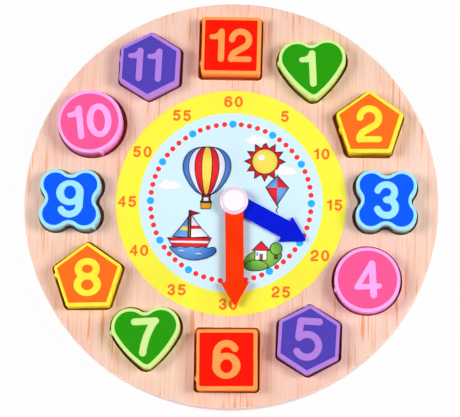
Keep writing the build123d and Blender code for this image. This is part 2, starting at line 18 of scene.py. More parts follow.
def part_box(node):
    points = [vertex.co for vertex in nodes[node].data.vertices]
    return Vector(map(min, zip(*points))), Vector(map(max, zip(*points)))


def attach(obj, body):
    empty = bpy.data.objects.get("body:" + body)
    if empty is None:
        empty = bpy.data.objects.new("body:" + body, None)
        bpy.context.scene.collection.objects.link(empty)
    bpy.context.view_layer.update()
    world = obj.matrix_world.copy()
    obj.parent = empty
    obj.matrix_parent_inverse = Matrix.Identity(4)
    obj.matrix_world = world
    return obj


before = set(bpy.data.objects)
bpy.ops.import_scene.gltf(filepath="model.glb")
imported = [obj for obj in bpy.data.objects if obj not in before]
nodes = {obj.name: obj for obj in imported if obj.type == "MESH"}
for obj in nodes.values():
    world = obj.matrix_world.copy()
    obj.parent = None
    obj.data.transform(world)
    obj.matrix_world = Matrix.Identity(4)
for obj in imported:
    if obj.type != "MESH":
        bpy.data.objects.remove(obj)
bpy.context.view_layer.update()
scene = bpy.context.scene
mm = 0.001

dial_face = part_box("dial_disc_print")[1].z
print(len(nodes), "nodes, dial face at", round(dial_face / mm, 2), "mm")

# %% [markdown]
# ## The camera
#
# A long lens looks down on the clock from a good metre away, leaning a little towards six o'clock.
# The lean could be set with Euler angles, but a lean about a tilted axis is easier to read as three
# turns multiplied together: swing round to the axis, lean, swing back. The last turn is the clock's
# own small turn on the table. A small lens shift places the dial in the picture without turning the
# camera away from it.

# %% Camera
image_width, image_height = 460, 417
dial_pixel = (230.80, 202.10)
pixels_per_metre = 1842.4
view_distance = 1.2576
view_lean = math.radians(13.035)
view_swing = math.radians(-8.864)
clock_turn = math.radians(1.316)
sensor_width = 36.0

swing = Matrix.Rotation(view_swing, 3, "Z")
lean = Matrix.Rotation(view_lean, 3, "X")
view_turn = Matrix.Rotation(clock_turn, 3, "Z") @ swing.transposed() @ lean @ swing

dial_centre = Vector((0, 0, dial_face))
camera_place = dial_centre + view_turn.col[2] * view_distance
camera_data = bpy.data.cameras.new("camera")
camera_data.sensor_width = sensor_width
camera_data.lens = sensor_width * pixels_per_metre * view_distance / image_width
camera_data.shift_x = (image_width / 2 - dial_pixel[0]) / image_width
camera_data.shift_y = (dial_pixel[1] - image_height / 2) / image_width
camera = bpy.data.objects.new("camera", camera_data)
camera.matrix_world = Matrix.Translation(camera_place) @ view_turn.to_4x4()
scene.collection.objects.link(camera)
scene.camera = camera
print("lens", round(camera_data.lens, 1), "mm, camera at", [round(v, 3) for v in camera.location])

# %% [markdown]
# ## Helpers for node trees
#
# Every finish is a node tree. Built by hand in code, a tree takes three lines a node: make it, set
# its options, link it. The first helper does all three, so that a finish reads as a short recipe,
# and the others are the nodes that come back again and again.

# %% Node helpers
def add_node(tree, kind, inputs=(), **options):
    """Add a node, set its options, and fill or link its inputs."""
    node = tree.nodes.new(kind)
    for name, value in options.items():
        setattr(node, name, value)
    for name, value in dict(inputs).items():
        if isinstance(value, bpy.types.NodeSocket):
            tree.links.new(value, node.inputs[name])
        else:
            node.inputs[name].default_value = value
    return node


def mix_colour(tree, factor, first, second, blend="MIX"):
    """Mix two colours; 6 and 7 are the Mix node's colour inputs, and 2 its colour output."""
    inputs = {0: factor, 6: first, 7: second}
    return add_node(tree, "ShaderNodeMix", inputs, data_type="RGBA", blend_type=blend).outputs[2]


def math_node(tree, operation, first, second=0.0):
    return add_node(tree, "ShaderNodeMath", {0: first, 1: second}, operation=operation).outputs[0]


def ramp_value(tree, value, low, high, to_low=0.0, to_high=1.0):
    """Stretch the part of a value between low and high to a new range, and clamp it."""
    inputs = {
        "Value": value, "From Min": low, "From Max": high, "To Min": to_low, "To Max": to_high
    }
    return add_node(tree, "ShaderNodeMapRange", inputs).outputs["Result"]


def stretched_noise(tree, vector, scale, detail=2.0):
    """Noise whose spots are 1 / scale metres long in each direction."""
    place = add_node(tree, "ShaderNodeMapping", {"Vector": vector, "Scale": scale})
    inputs = {"Vector": place.outputs[0], "Scale": 1.0, "Detail": detail}
    return add_node(tree, "ShaderNodeTexNoise", inputs).outputs["Fac"]


def distance_from(tree, place, x, y):
    """How far a point is from the upright line through x, y."""
    axes = add_node(tree, "ShaderNodeSeparateXYZ", {0: place}).outputs
    flat = add_node(tree, "ShaderNodeCombineXYZ", {"X": axes["X"], "Y": axes["Y"]}).outputs[0]
    inputs = {0: flat, 1: (x, y, 0)}
    return add_node(tree, "ShaderNodeVectorMath", inputs, operation="DISTANCE").outputs["Value"]


def wall_mask(tree):
    """1 on upright walls, 0 on faces that look up or down: low and high are swapped for that."""
    normal = add_node(tree, "ShaderNodeNewGeometry").outputs["Normal"]
    up = add_node(tree, "ShaderNodeSeparateXYZ", {0: normal}).outputs["Z"]
    return ramp_value(tree, math_node(tree, "ABSOLUTE", up), low=0.75, high=0.55)


def rgb(red, green, blue):
    """A colour given as it shows on a screen, 0 to 255, in the renderer's linear values."""
    linear = []
    for channel in (red, green, blue):
        share = channel / 255
        linear.append(share / 12.92 if share <= 0.04045 else ((share + 0.055) / 1.055) ** 2.4)
    return (*linear, 1.0)


# %% [markdown]
# ## Helpers for finishes
#
# A finish that several materials share could be copied into each of them, but a node group is built
# once and placed in each material with that material's own colours. Every group here puts out the
# same three things: a colour, a roughness and a height for the bump. The shader itself stays in the
# material, and so does its gloss.

# %% Helpers for groups and materials
origin = (0, 0, 0)
white = (1, 1, 1, 1)
finish_outputs = {
    "Color": "NodeSocketColor", "Roughness": "NodeSocketFloat", "Height": "NodeSocketFloat"
}


def new_group(name, inputs):
    """A node group for a finish; inputs are {name: default}. Gives its tree, inputs and outputs."""
    group = bpy.data.node_groups.new(name, "ShaderNodeTree")
    for label, default in inputs.items():
        kind = "NodeSocketFloat"
        if isinstance(default, tuple):
            kind = "NodeSocketColor" if len(default) == 4 else "NodeSocketVector"
        socket = group.interface.new_socket(label, in_out="INPUT", socket_type=kind)
        socket.default_value = default
    for label, kind in finish_outputs.items():
        group.interface.new_socket(label, in_out="OUTPUT", socket_type=kind)
    group_in = group.nodes.new("NodeGroupInput").outputs
    group_out = group.nodes.new("NodeGroupOutput").inputs
    return group, group_in, group_out


def put_out(group, group_out, colour, roughness, height):
    """Link what a finish group has worked out to its three outputs."""
    for label, value in zip(finish_outputs, (colour, roughness, height)):
        group.links.new(value, group_out[label])
    print("group", group.name, "of", len(group.nodes), "nodes")


def new_material(name):
    """A material, its tree, and the point on the surface in the object's own axes."""
    material = bpy.data.materials.new(name)
    material.use_nodes = True
    place = material.node_tree.nodes.new("ShaderNodeTexCoord").outputs["Object"]
    return material, material.node_tree, place


def principled(material, inputs, height=None, strength=0.2, depth=0.1 * mm):
    """Put the inputs into the material's Principled shader, with a bump where a height is given."""
    tree = material.node_tree
    shader = tree.nodes["Principled BSDF"]
    if height is not None:
        bump = {"Height": height, "Strength": strength, "Distance": depth}
        inputs = {**inputs, "Normal": add_node(tree, "ShaderNodeBump", bump).outputs[0]}
    for name, value in inputs.items():
        if isinstance(value, bpy.types.NodeSocket):
            tree.links.new(value, shader.inputs[name])
        else:
            shader.inputs[name].default_value = value
    return material


def finish(material, group, group_inputs, gloss, strength, depth):
    """Give a material the colour, roughness and bump that a finish group puts out."""
    surface = add_node(material.node_tree, "ShaderNodeGroup", group_inputs, node_tree=group).outputs
    inputs = {"Base Color": surface["Color"], "Roughness": surface["Roughness"]}
    inputs["Specular IOR Level"] = gloss
    return principled(material, inputs, surface["Height"], strength, depth)


def dress(node_name, material):
    """Give a node of the frame its finish."""
    for slot in nodes[node_name].material_slots:
        slot.material = material


# %% [markdown]
# ## Bare plywood
#
# The face veneer is pale, pinkish and close-grained, with fine darker lines and short, darker
# streaks that run from twelve to six. A wave texture would give rings, which rotary-cut veneer
# doesn't show. Noise that is stretched along the grain does: one layer for the slow change of tone,
# one for the fibres, one cut off high for the lines and one cut off higher for the streaks. A last,
# broad layer gathers the streaks in some places and thins them out in others.

# %% Plywood grain group
grain, grain_in, grain_out = new_group(
    "plywood grain", {"Vector": origin, "Light": white, "Shade": white, "Streak": white}
)


def grain_noise(across, along, detail=2.0):
    """Noise drawn out along the grain, in spots per metre across it and along it."""
    return stretched_noise(grain, grain_in["Vector"], (across, along, across), detail)


tone = grain_noise(across=60, along=8)
fibres = grain_noise(across=1150, along=40, detail=3.0)
lines = grain_noise(across=680, along=20, detail=1.0)
streaks = grain_noise(across=860, along=40, detail=0.5)
gathering = grain_noise(across=70, along=26, detail=1.0)

tone_mask = ramp_value(grain, tone, low=0.4, high=0.66, to_high=0.4)
fibre_mask = ramp_value(grain, fibres, low=0.38, high=0.66, to_high=0.4)
line_mask = ramp_value(grain, lines, low=0.56, high=0.72, to_high=0.35)
streak_mask = ramp_value(grain, streaks, low=0.61, high=0.70, to_high=0.85)
gathering_mask = ramp_value(grain, gathering, low=0.48, high=0.60, to_low=0.1)
streak_mask = math_node(grain, "MULTIPLY", streak_mask, gathering_mask)

veneer = mix_colour(grain, tone_mask, grain_in["Light"], grain_in["Shade"])
veneer = mix_colour(grain, fibre_mask, veneer, grain_in["Shade"])
veneer = mix_colour(grain, line_mask, veneer, grain_in["Streak"])
veneer = mix_colour(grain, streak_mask, veneer, grain_in["Streak"])
roughness = ramp_value(grain, fibres, low=0.3, high=0.7, to_low=0.46, to_high=0.6)
dents = math_node(grain, "ADD", line_mask, streak_mask)
put_out(grain, grain_out, veneer, roughness, math_node(grain, "SUBTRACT", fibres, dents))

# %% [markdown]
# ## The edges of the plywood
#
# Round the outside the sheets were sanded, and show their plies: layers that lie along the edge and
# layers cut across, with a glue line between. Inside the cut-outs the saw has warmed the wood to a
# light tan. The floor of the cut-outs, on the back sheet, is tinted darker and redder: painted shade
# in the deep, narrow pockets. All are worked out from the height above the table and the distance
# from the dial's centre, and a mask from the surface's own direction tells walls from faces.

# %% Plies, from the bottom up
plies = [  # the top of each ply in mm, and its tone; the first three are the back sheet
    (1.0, "light"), (2.0, "dark"), (3.0, "light"),
    (4.4, "light"), (5.8, "dark"), (7.2, "light"), (8.6, "dark"), (10.0, "light"),
]
board_thick = plies[-1][0]  # in mm, as the plies are
glue_thick = 0.12
ply_colours = {"light": rgb(242, 216, 206), "dark": rgb(214, 181, 168), "glue": rgb(184, 140, 126)}


def ply_layers(tree, height):
    """The colours of the plies over the height of the board."""
    ramp = tree.nodes.new("ShaderNodeValToRGB")
    ramp.color_ramp.interpolation = "CONSTANT"
    stops = ramp.color_ramp.elements
    stops.remove(stops[1])
    stops[0].color = ply_colours[plies[0][1]]
    for (top, _), (_, next_tone) in zip(plies, plies[1:]):
        stops.new((top - glue_thick) / board_thick).color = ply_colours["glue"]
        stops.new(top / board_thick).color = ply_colours[next_tone]
    tree.links.new(math_node(tree, "DIVIDE", height, board_thick * mm), ramp.inputs["Fac"])
    return ramp.outputs["Color"]


# %% Plywood material
board_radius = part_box("front_panel")[1].x
back_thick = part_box("back_panel")[1].z
edge_depth = 0.9 * mm
wood_gloss = 0.25
sawn_dark, sawn_light = rgb(246, 178, 128), rgb(255, 208, 164)
# A darker, redder tint for the floor of the cut-outs: painted shade in the pockets.
pocket_floor_shade = rgb(226, 160, 138)


def plywood(name, light, shade, streak):
    """Veneer on the faces, plies round the outside, sawn wood inside the cut-outs."""
    material, tree, place = new_material(name)
    inputs = {"Vector": place, "Light": light, "Shade": shade, "Streak": streak}
    face = add_node(tree, "ShaderNodeGroup", inputs, node_tree=grain).outputs
    height = add_node(tree, "ShaderNodeSeparateXYZ", {0: place}).outputs["Z"]

    out = distance_from(tree, place, 0, 0)
    outside = math_node(tree, "GREATER_THAN", out, board_radius - edge_depth)
    saw_marks = stretched_noise(tree, place, (260, 260, 40), detail=3.0)
    sawn = mix_colour(tree, saw_marks, sawn_dark, sawn_light)
    wall = mix_colour(tree, outside, sawn, ply_layers(tree, height))

    on_back_sheet = math_node(tree, "LESS_THAN", height, back_thick + glue_thick * mm)
    above_bottom = math_node(tree, "GREATER_THAN", height, glue_thick * mm)
    pocket_floor = math_node(tree, "MULTIPLY", on_back_sheet, above_bottom)
    # The floor of each cut-out is multiplied by that tint: painted shade.
    flat = mix_colour(tree, pocket_floor, face["Color"], pocket_floor_shade, "MULTIPLY")

    colour = mix_colour(tree, wall_mask(tree), flat, wall)
    inputs = {"Base Color": colour, "Roughness": face["Roughness"]}
    inputs["Specular IOR Level"] = wood_gloss
    return principled(material, inputs, face["Height"])


wood = plywood(
    "plywood", light=rgb(250, 218, 197), shade=rgb(240, 190, 159), streak=rgb(234, 158, 104)
)
for node_name in ("front_panel", "back_panel"):
    dress(node_name, wood)
print("board of", round(board_radius * 2 / mm), "mm, back sheet", round(back_thick / mm, 2), "mm")

# %% [markdown]
# ## Paint, ink and plastic
#
# Three finishes look alike from afar and differ close by. The blocks are sprayed: the paint pools a
# little, and the wood's grain stands through it. The ink is thin and flat, with a pinhole here and
# there that shows what lies under it. The plastic is smooth, with a faint ripple from the mould.
# Each is one group, and takes its colour from the material.

# %% Sprayed paint
paint, paint_in, paint_out = new_group(
    "sprayed paint", {"Vector": origin, "Color": white, "Deep": white}
)
paint_gloss = 0.16
peel_share = 0.35

pooling = stretched_noise(paint, paint_in["Vector"], (140, 140, 260), detail=3.0)
peel = stretched_noise(paint, paint_in["Vector"], (2400, 2400, 2400), detail=1.0)
raised_grain = stretched_noise(paint, paint_in["Vector"], (1100, 60, 180))
pools = ramp_value(paint, pooling, low=0.42, high=0.72, to_high=0.35)
put_out(
    paint, paint_out,
    mix_colour(paint, pools, paint_in["Color"], paint_in["Deep"]),
    ramp_value(paint, pooling, low=0.3, high=0.7, to_low=0.34, to_high=0.46),
    math_node(paint, "ADD", math_node(paint, "MULTIPLY", peel, peel_share), raised_grain),
)


def painted(name, colour, wall_shade):
    """Body paint, with a deeper colour on the walls than on the top: painted shade on the sides."""
    material, tree, place = new_material(name)
    # The walls take the deeper colour through the wall mask: painted shade.
    top_and_wall_shade = mix_colour(tree, wall_mask(tree), colour, wall_shade)
    inputs = {"Vector": place, "Color": top_and_wall_shade, "Deep": wall_shade}
    return finish(material, paint, inputs, paint_gloss, strength=0.22, depth=0.06 * mm)


# %% Printed ink
ink, ink_in, ink_out = new_group(
    "printed ink", {"Vector": origin, "Color": white, "Under": white}
)
ink_gloss = 0.08
cells_per_metre = 150.0
cells_without_hole = 0.93
hole_strength = 0.6

cells = add_node(
    ink, "ShaderNodeTexVoronoi", {"Vector": ink_in["Vector"], "Scale": cells_per_metre}
).outputs
cell_lot = add_node(ink, "ShaderNodeSeparateXYZ", {0: cells["Color"]}).outputs["X"]
has_hole = math_node(ink, "GREATER_THAN", cell_lot, cells_without_hole)
near_middle = ramp_value(ink, cells["Distance"], low=0.05, high=0.03)
pinholes = math_node(ink, "MULTIPLY", near_middle, has_hole)
coverage = stretched_noise(ink, ink_in["Vector"], (1300, 1300, 1300), detail=3.0)
thin = ramp_value(ink, coverage, low=0.45, high=0.8, to_high=0.05)
bare = math_node(ink, "MAXIMUM", thin, math_node(ink, "MULTIPLY", pinholes, hole_strength))
put_out(
    ink, ink_out,
    mix_colour(ink, bare, ink_in["Color"], ink_in["Under"]),
    ramp_value(ink, coverage, low=0.3, high=0.7, to_low=0.42, to_high=0.52),
    math_node(ink, "SUBTRACT", coverage, pinholes),
)


def printed(name, colour, under):
    """Ink of one colour, on paint, ink or wood of another."""
    material, tree, place = new_material(name)
    inputs = {"Vector": place, "Color": colour, "Under": under}
    return finish(material, ink, inputs, ink_gloss, strength=0.1, depth=0.03 * mm)


# %% Moulded plastic
plastic, plastic_in, plastic_out = new_group(
    "moulded plastic", {"Vector": origin, "Color": white, "Deep": white}
)
plastic_gloss = 0.12
bloom_share = 0.2

ripple = stretched_noise(plastic, plastic_in["Vector"], (55, 55, 55), detail=1.0)
bloom = stretched_noise(plastic, plastic_in["Vector"], (600, 600, 600), detail=4.0)
flow = ramp_value(plastic, ripple, low=0.35, high=0.65, to_high=0.5)
put_out(
    plastic, plastic_out,
    mix_colour(plastic, flow, plastic_in["Color"], plastic_in["Deep"]),
    ramp_value(plastic, bloom, low=0.3, high=0.7, to_low=0.26, to_high=0.40),
    math_node(plastic, "ADD", ripple, math_node(plastic, "MULTIPLY", bloom, bloom_share)),
)


def moulded(name, colour, deep):
    """Plastic coloured right through, a little deeper where it flowed thick."""
    material, tree, place = new_material(name)
    inputs = {"Vector": place, "Color": colour, "Deep": deep}
    return finish(material, plastic, inputs, plastic_gloss, strength=0.12, depth=0.08 * mm)


# %% [markdown]
# ## The blocks and the dial
#
# Opposite blocks share a shape and a pair of colours: a light one for the body, which is also what
# shows through the number, and a strong one for the printed field. The dial is printed in five
# inks, a yellow ring, a pale disc, the minutes' numerals and two kinds of dots. Each ink shows the
# one below it in its pinholes.

# %% Block colours
# The second colour of each block is painted shade for its sides.
block_colours = {  # hours; body, sides of the body, printed field
    "red": ((6, 12), rgb(252, 167, 82), rgb(255, 148, 68), rgb(252, 16, 0)),
    "green": ((1, 7), rgb(218, 250, 156), rgb(206, 240, 130), rgb(32, 156, 0)),
    "orange": ((2, 8), rgb(254, 248, 66), rgb(240, 206, 18), rgb(250, 111, 30)),
    "blue": ((3, 9), rgb(162, 240, 250), rgb(172, 220, 232), rgb(0, 90, 248)),
    "pink": ((4, 10), rgb(250, 180, 248), rgb(244, 146, 208), rgb(250, 90, 150)),
    "violet": ((5, 11), rgb(180, 132, 226), rgb(190, 136, 212), rgb(80, 66, 178)),
}
for colour_name, (hours, body_colour, wall_shade_colour, field_colour) in block_colours.items():
    body_paint = painted(f"block paint {colour_name}", body_colour, wall_shade_colour)
    field_ink = printed(f"field ink {colour_name}", field_colour, body_colour)
    for hour in hours:
        dress(f"block_{hour:02d}", body_paint)
        dress(f"number_print_{hour:02d}", field_ink)
print("painted", 2 * len(block_colours), "blocks in", len(block_colours), "pairs of colours")

# %% Dial inks
ring_yellow = rgb(254, 250, 66)
disc_cyan = rgb(215, 247, 253)
dial_inks = {  # node: name of the ink, its colour, what lies under it
    "dial_ring_print": ("ring ink", ring_yellow, rgb(255, 253, 190)),
    "dial_disc_print": ("disc ink", disc_cyan, rgb(255, 255, 255)),
    "minute_numerals": ("numeral ink", rgb(255, 116, 48), ring_yellow),
    "minute_dots": ("minute dot ink", rgb(255, 48, 52), disc_cyan),
    "hour_dots": ("hour dot ink", rgb(38, 180, 255), disc_cyan),
}
for node_name, (ink_name, colour, under) in dial_inks.items():
    dress(node_name, printed(ink_name, colour, under))
print("printed the dial in", len(dial_inks), "inks")

# %% [markdown]
# ## The picture on the dial
#
# Toy clocks have a bright little scene in the middle of the dial. This one is made up for the
# lesson: a hot-air balloon, a sailing boat, a kite, the sun, and a house on a hill. It could be an
# image texture, but then it would be neither sharp from close by nor a shape of its own. Here each
# patch of ink is a thin closed film: a flat curve, filled, given a thickness and turned into a
# mesh. The same curve in dark ink, moved out by the width of a pen line and laid just below, is the
# drawn line round it.

# %% Ink that darkens towards the edge of a motif
drawn, drawn_in, drawn_out = new_group(
    "drawn ink",
    {"Vector": origin, "Color": white, "Deep": white, "Middle": origin, "Reach": 0.01},
)
ends = {0: drawn_in["Vector"], 1: drawn_in["Middle"]}
away = add_node(drawn, "ShaderNodeVectorMath", ends, operation="DISTANCE").outputs["Value"]
away = math_node(drawn, "DIVIDE", away, drawn_in["Reach"])
speckle = stretched_noise(drawn, drawn_in["Vector"], (1500, 1500, 1500))
grit = ramp_value(drawn, speckle, low=0.3, high=0.7, to_low=-0.08, to_high=0.08)
airbrush = math_node(drawn, "ADD", ramp_value(drawn, away, low=0.3, high=1.05), grit)
put_out(
    drawn, drawn_out,
    mix_colour(drawn, airbrush, drawn_in["Color"], drawn_in["Deep"]),
    ramp_value(drawn, speckle, low=0.3, high=0.7, to_low=0.42, to_high=0.5),
    speckle,
)

picture_inks = {  # in the middle of a motif, and at its edge
    "blue": (rgb(112, 172, 236), rgb(30, 84, 172)),
    "red": (rgb(240, 44, 52), rgb(168, 10, 36)),
    "yellow": (rgb(255, 232, 96), rgb(228, 160, 36)),
    "white": (rgb(255, 255, 255), rgb(186, 200, 230)),
    "green": (rgb(146, 208, 84), rgb(52, 132, 50)),
    "brown": (rgb(150, 92, 58), rgb(84, 44, 30)),
    "line": (rgb(54, 26, 30), rgb(40, 20, 28)),
    "cloud": (rgb(255, 255, 255), rgb(248, 252, 255)),
}


def drawn_ink(motif, ink_name, middle, reach):
    """One ink of one motif: its colour is lightest at the motif's middle."""
    material, tree, place = new_material(f"{motif} {ink_name}")
    inputs = dict(zip(("Color", "Deep"), picture_inks[ink_name]))
    inputs["Vector"] = place
    inputs["Middle"] = (middle[0] * mm, middle[1] * mm, dial_face)
    inputs["Reach"] = reach * mm
    return finish(material, drawn, inputs, ink_gloss, strength=0.1, depth=0.02 * mm)


# %% A film of ink
film_thick = 0.02 * mm
weld_reach = film_thick / 20
line_width = 0.45 * mm
curve_steps = 4
cubic = 4


def film_mesh(points, layer, smooth, swell):
    """A flat curve round the points, filled, as thick as the ink, on its layer of the print."""
    curve = bpy.data.curves.new("film", "CURVE")
    curve.dimensions = "2D"
    curve.fill_mode = "BOTH"
    curve.extrude = film_thick / 2
    curve.offset = swell
    curve.resolution_u = curve_steps
    spline = curve.splines.new("NURBS" if smooth else "POLY")
    spline.points.add(len(points) - 1)
    for point, (x, y) in zip(spline.points, points):
        point.co = (x * mm, y * mm, 0, 1)
    spline.use_cyclic_u = True
    if smooth:
        spline.order_u = cubic
    holder = bpy.data.objects.new("film", curve)
    mesh = bpy.data.meshes.new_from_object(holder)
    mesh.transform(Matrix.Translation((0, 0, dial_face + (layer + 0.5) * film_thick)))
    bpy.data.objects.remove(holder)
    bpy.data.curves.remove(curve)
    return mesh


def draw(motif, middle, reach, patches):
    """Lay a motif's patches over each other: ink, smooth, outlined, points in mm from its middle."""
    inks = list(dict.fromkeys([patch[0] for patch in patches] + ["line"]))
    ink_films = bmesh.new()
    layer = 0
    for ink_name, smooth, outlined, points in patches:
        placed = [(x + middle[0], y + middle[1]) for x, y in points]
        films = [("line", line_width), (ink_name, 0.0)] if outlined else [(ink_name, 0.0)]
        for film_ink, swell in films:
            mesh = film_mesh(placed, layer, smooth, swell)
            for face in mesh.polygons:
                face.material_index = inks.index(film_ink)
            ink_films.from_mesh(mesh)
            bpy.data.meshes.remove(mesh)
            layer += 1
    bmesh.ops.remove_doubles(ink_films, verts=ink_films.verts, dist=weld_reach)
    bmesh.ops.recalc_face_normals(ink_films, faces=ink_films.faces)
    data = bpy.data.meshes.new(f"picture_{motif}")
    ink_films.to_mesh(data)
    ink_films.free()
    for ink_name in inks:
        data.materials.append(drawn_ink(motif, ink_name, middle, reach))
    piece = bpy.data.objects.new(f"picture_{motif}", data)
    scene.collection.objects.link(piece)
    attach(piece, "board")
    print(piece.name, "layers", layer, "faces", len(data.polygons))


# %% Outlines that come back
def wide(points, share):
    """The same outline, narrower or wider."""
    return [(x * share, y) for x, y in points]


def round_patch(x, y, half_wide, half_tall, count=10):
    """Control points of a smooth oval, which stand out from it because a spline runs inside them."""
    spread = 1.0 / (1 - (1 - math.cos(math.tau / count)) / 3)
    turns = [math.tau * number / count for number in range(count)]
    return [
        (x + half_wide * spread * math.cos(turn), y + half_tall * spread * math.sin(turn))
        for turn in turns
    ]


def star(points, inner, outer):
    """A star with sharp rays."""
    turns = [math.pi * number / points for number in range(2 * points)]
    reaches = [outer if number % 2 == 0 else inner for number in range(2 * points)]
    return [(reach * math.cos(t), reach * math.sin(t)) for t, reach in zip(turns, reaches)]


# %% Balloon, boat and kite
envelope = [
    (0, 12.6), (7.6, 12), (12.8, 6.5), (13.2, -1), (9.5, -8), (4.2, -14.5),
    (-4.2, -14.5), (-9.5, -8), (-13.2, -1), (-12.8, 6.5), (-7.6, 12),
]
balloon = [
    ("brown", False, True, [(-1.9, -15.4), (-1.6, -15.4), (-2.1, -18.6), (-2.4, -18.6)]),
    ("brown", False, True, [(1.6, -15.4), (1.9, -15.4), (2.4, -18.6), (2.1, -18.6)]),
    ("yellow", False, True, [(-2.8, -18), (2.8, -18), (2.3, -21.8), (-2.3, -21.8)]),
    ("brown", False, False, [(-2.9, -18), (2.9, -18), (2.8, -18.9), (-2.8, -18.9)]),
    ("red", False, True, [(-2.7, -12), (2.7, -12), (2.1, -15.2), (-2.1, -15.2)]),
    ("blue", True, True, envelope),
    ("white", True, True, wide(envelope, 0.76)),
    ("red", True, True, wide(envelope, 0.5)),
    ("yellow", True, True, wide(envelope, 0.2)),
]
boat = [
    ("brown", False, True, [(-0.35, -0.5), (0.35, -0.5), (0.35, 16.2), (-0.35, 16.2)]),
    ("red", False, True, [(0.4, 13.8), (4.4, 15), (0.4, 16.2)]),
    ("white", False, True, [(1.0, 1.6), (10.2, 2.2), (4.0, 9.2), (1.0, 13.4)]),
    ("red", False, False, [(1.0, 6.2), (6.6, 6.3), (5.0, 8.1), (1.0, 8.0)]),
    ("blue", False, True, [(-1.0, 1.6), (-1.0, 12.2), (-3.6, 8.4), (-8.6, 2.0)]),
    ("yellow", False, False, [(-1.0, 5.4), (-1.0, 7.6), (-3.9, 7.5), (-5.2, 5.4)]),
    ("red", False, True, [(-11.2, 0.8), (11.6, 1.2), (8.4, -5.4), (-7.4, -5.4)]),
    ("white", False, False, [(-10.4, -0.6), (10.7, -0.4), (10.2, -1.6), (-9.7, -1.6)]),
    ("blue", True, True, [
        (-9, -6), (-11, -3.2), (-7.5, -5.2), (-5, -2.8), (-1.5, -5.2), (1.2, -2.8), (4.6, -5.2),
        (7.2, -2.9), (10.2, -5.2), (13.6, -3.2), (15.4, -6), (12, -9), (4, -11.4), (-4, -10),
    ]),
    ("white", True, False, [(-6.4, -6.4), (-4, -5.2), (-1.4, -6.4), (-4, -5.9)]),
    ("white", True, False, [(2.6, -8), (5.2, -6.6), (8, -8), (5.2, -7.4)]),
]
kite_tail = [
    (0.2, -7.6), (1.6, -9.4), (-0.6, -11), (1.2, -12.8),
    (0.7, -13), (-1.3, -11), (0.9, -9.4), (-0.3, -7.9),
]
kite = [
    ("brown", True, False, kite_tail),
    ("blue", False, True, [(0, 8), (6, 1.5), (0, -8), (-6, 1.5)]),
    ("red", False, False, [(0, 8), (6, 1.5), (0, 1.5)]),
    ("red", False, False, [(-6, 1.5), (0, 1.5), (0, -8)]),
]
draw("balloon", middle=(-13.5, 18), reach=15, patches=balloon)
draw("boat", middle=(-22, -21.5), reach=15, patches=boat)
draw("kite", middle=(25, 7), reach=9, patches=kite)

# %% Sun, hill and clouds
sun = [
    ("red", False, True, star(12, 7.2, 10.6)),
    ("yellow", True, True, round_patch(0, 0, 6.8, 6.8)),
    ("white", True, False, round_patch(-2.0, 2.2, 1.9, 1.5)),
]
hill = [
    ("green", True, True, [
        (-10, -9.5), (-11, -3), (-5, 1.2), (1, 2.6), (6, 1.2),
        (10, 0.4), (9.5, -2.6), (5, -6.8), (-1, -9.6),
    ]),
    ("green", True, True, [(-10, -9.5), (-10.5, -6), (-5, -3.2), (1, -5), (3.6, -7.6), (-2, -9.8)]),
    ("white", False, True, [(-4.4, -3.6), (1.6, -3.6), (1.6, 1.8), (-4.4, 1.8)]),
    ("red", False, True, [(-5.6, 1.8), (2.8, 1.8), (-1.4, 6.2)]),
    ("brown", False, False, [(-2.2, -3.6), (-0.4, -3.6), (-0.4, -0.4), (-2.2, -0.4)]),
    ("blue", False, False, [(-4.0, -1.6), (-2.9, -1.6), (-2.9, 0.4), (-4.0, 0.4)]),
    ("brown", False, True, [(6.2, -2.6), (7.2, -2.6), (7.0, 1.6), (6.4, 1.6)]),
    ("green", True, True, round_patch(6.7, 2.6, 3.0, 3.1)),
]
cloud_places = [(-33.5, 8.5), (13.5, 34.5), (29.5, 17.5)]
cloud_puffs = [(0, 0, 6.0, 1.9), (-1.6, 1.4, 2.6, 1.9), (2.0, 1.0, 2.4, 1.6)]
clouds = [
    ("cloud", True, False, round_patch(x + step_x, y + step_y, half_wide, half_tall))
    for x, y in cloud_places
    for step_x, step_y, half_wide, half_tall in cloud_puffs
]
draw("sun", middle=(18, 23), reach=12, patches=sun)
draw("hill", middle=(18.5, -28), reach=12, patches=hill)
draw("clouds", middle=(0, 0), reach=60, patches=clouds)

# %% [markdown]
# ## Hands, cap and works
#
# The hands are plain flat mouldings. The cap is a low, glossy white dome, pink towards its rim and
# pinkest in the line where the dome meets the shoulder: a painted reflection of the red hand. That
# change follows the distance from the arbor, so it stays in place when the cap turns. The works
# behind the dial are white plastic, steel and brass.

# %% Hands and cap
dress("minute_hand", moulded("hand red", rgb(255, 58, 0), rgb(240, 40, 0)))
dress("hour_hand", moulded("hand blue", rgb(0, 30, 224), rgb(0, 16, 196)))

cap_low, cap_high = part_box("hub_cap")
arbor = (cap_low + cap_high) / 2
cap_radius = (cap_high.x - cap_low.x) / 2
cap_shine = {"Roughness": 0.18, "Coat Weight": 0.3, "Coat Roughness": 0.06}


def cap_plastic(name, middle, line_reflection, rim_reflection):
    """White plastic with a painted reflection of the red hand: pink rim, pinker line at the
    shoulder.
    """
    material, tree, place = new_material(name)
    out = math_node(tree, "DIVIDE", distance_from(tree, place, arbor.x, arbor.y), cap_radius)
    # Pink towards the rim and a pinker line at the shoulder: painted reflection of the red hand.
    into_line_reflection = ramp_value(tree, out, low=0.72, high=0.82)
    onto_rim_reflection = ramp_value(tree, out, low=0.84, high=0.92)
    dome = mix_colour(tree, into_line_reflection, middle, line_reflection)
    inputs = {"Vector": place, "Color": mix_colour(tree, onto_rim_reflection, dome, rim_reflection), "Deep": middle}
    surface = add_node(tree, "ShaderNodeGroup", inputs, node_tree=plastic).outputs
    return principled(material, {"Base Color": surface["Color"], **cap_shine})


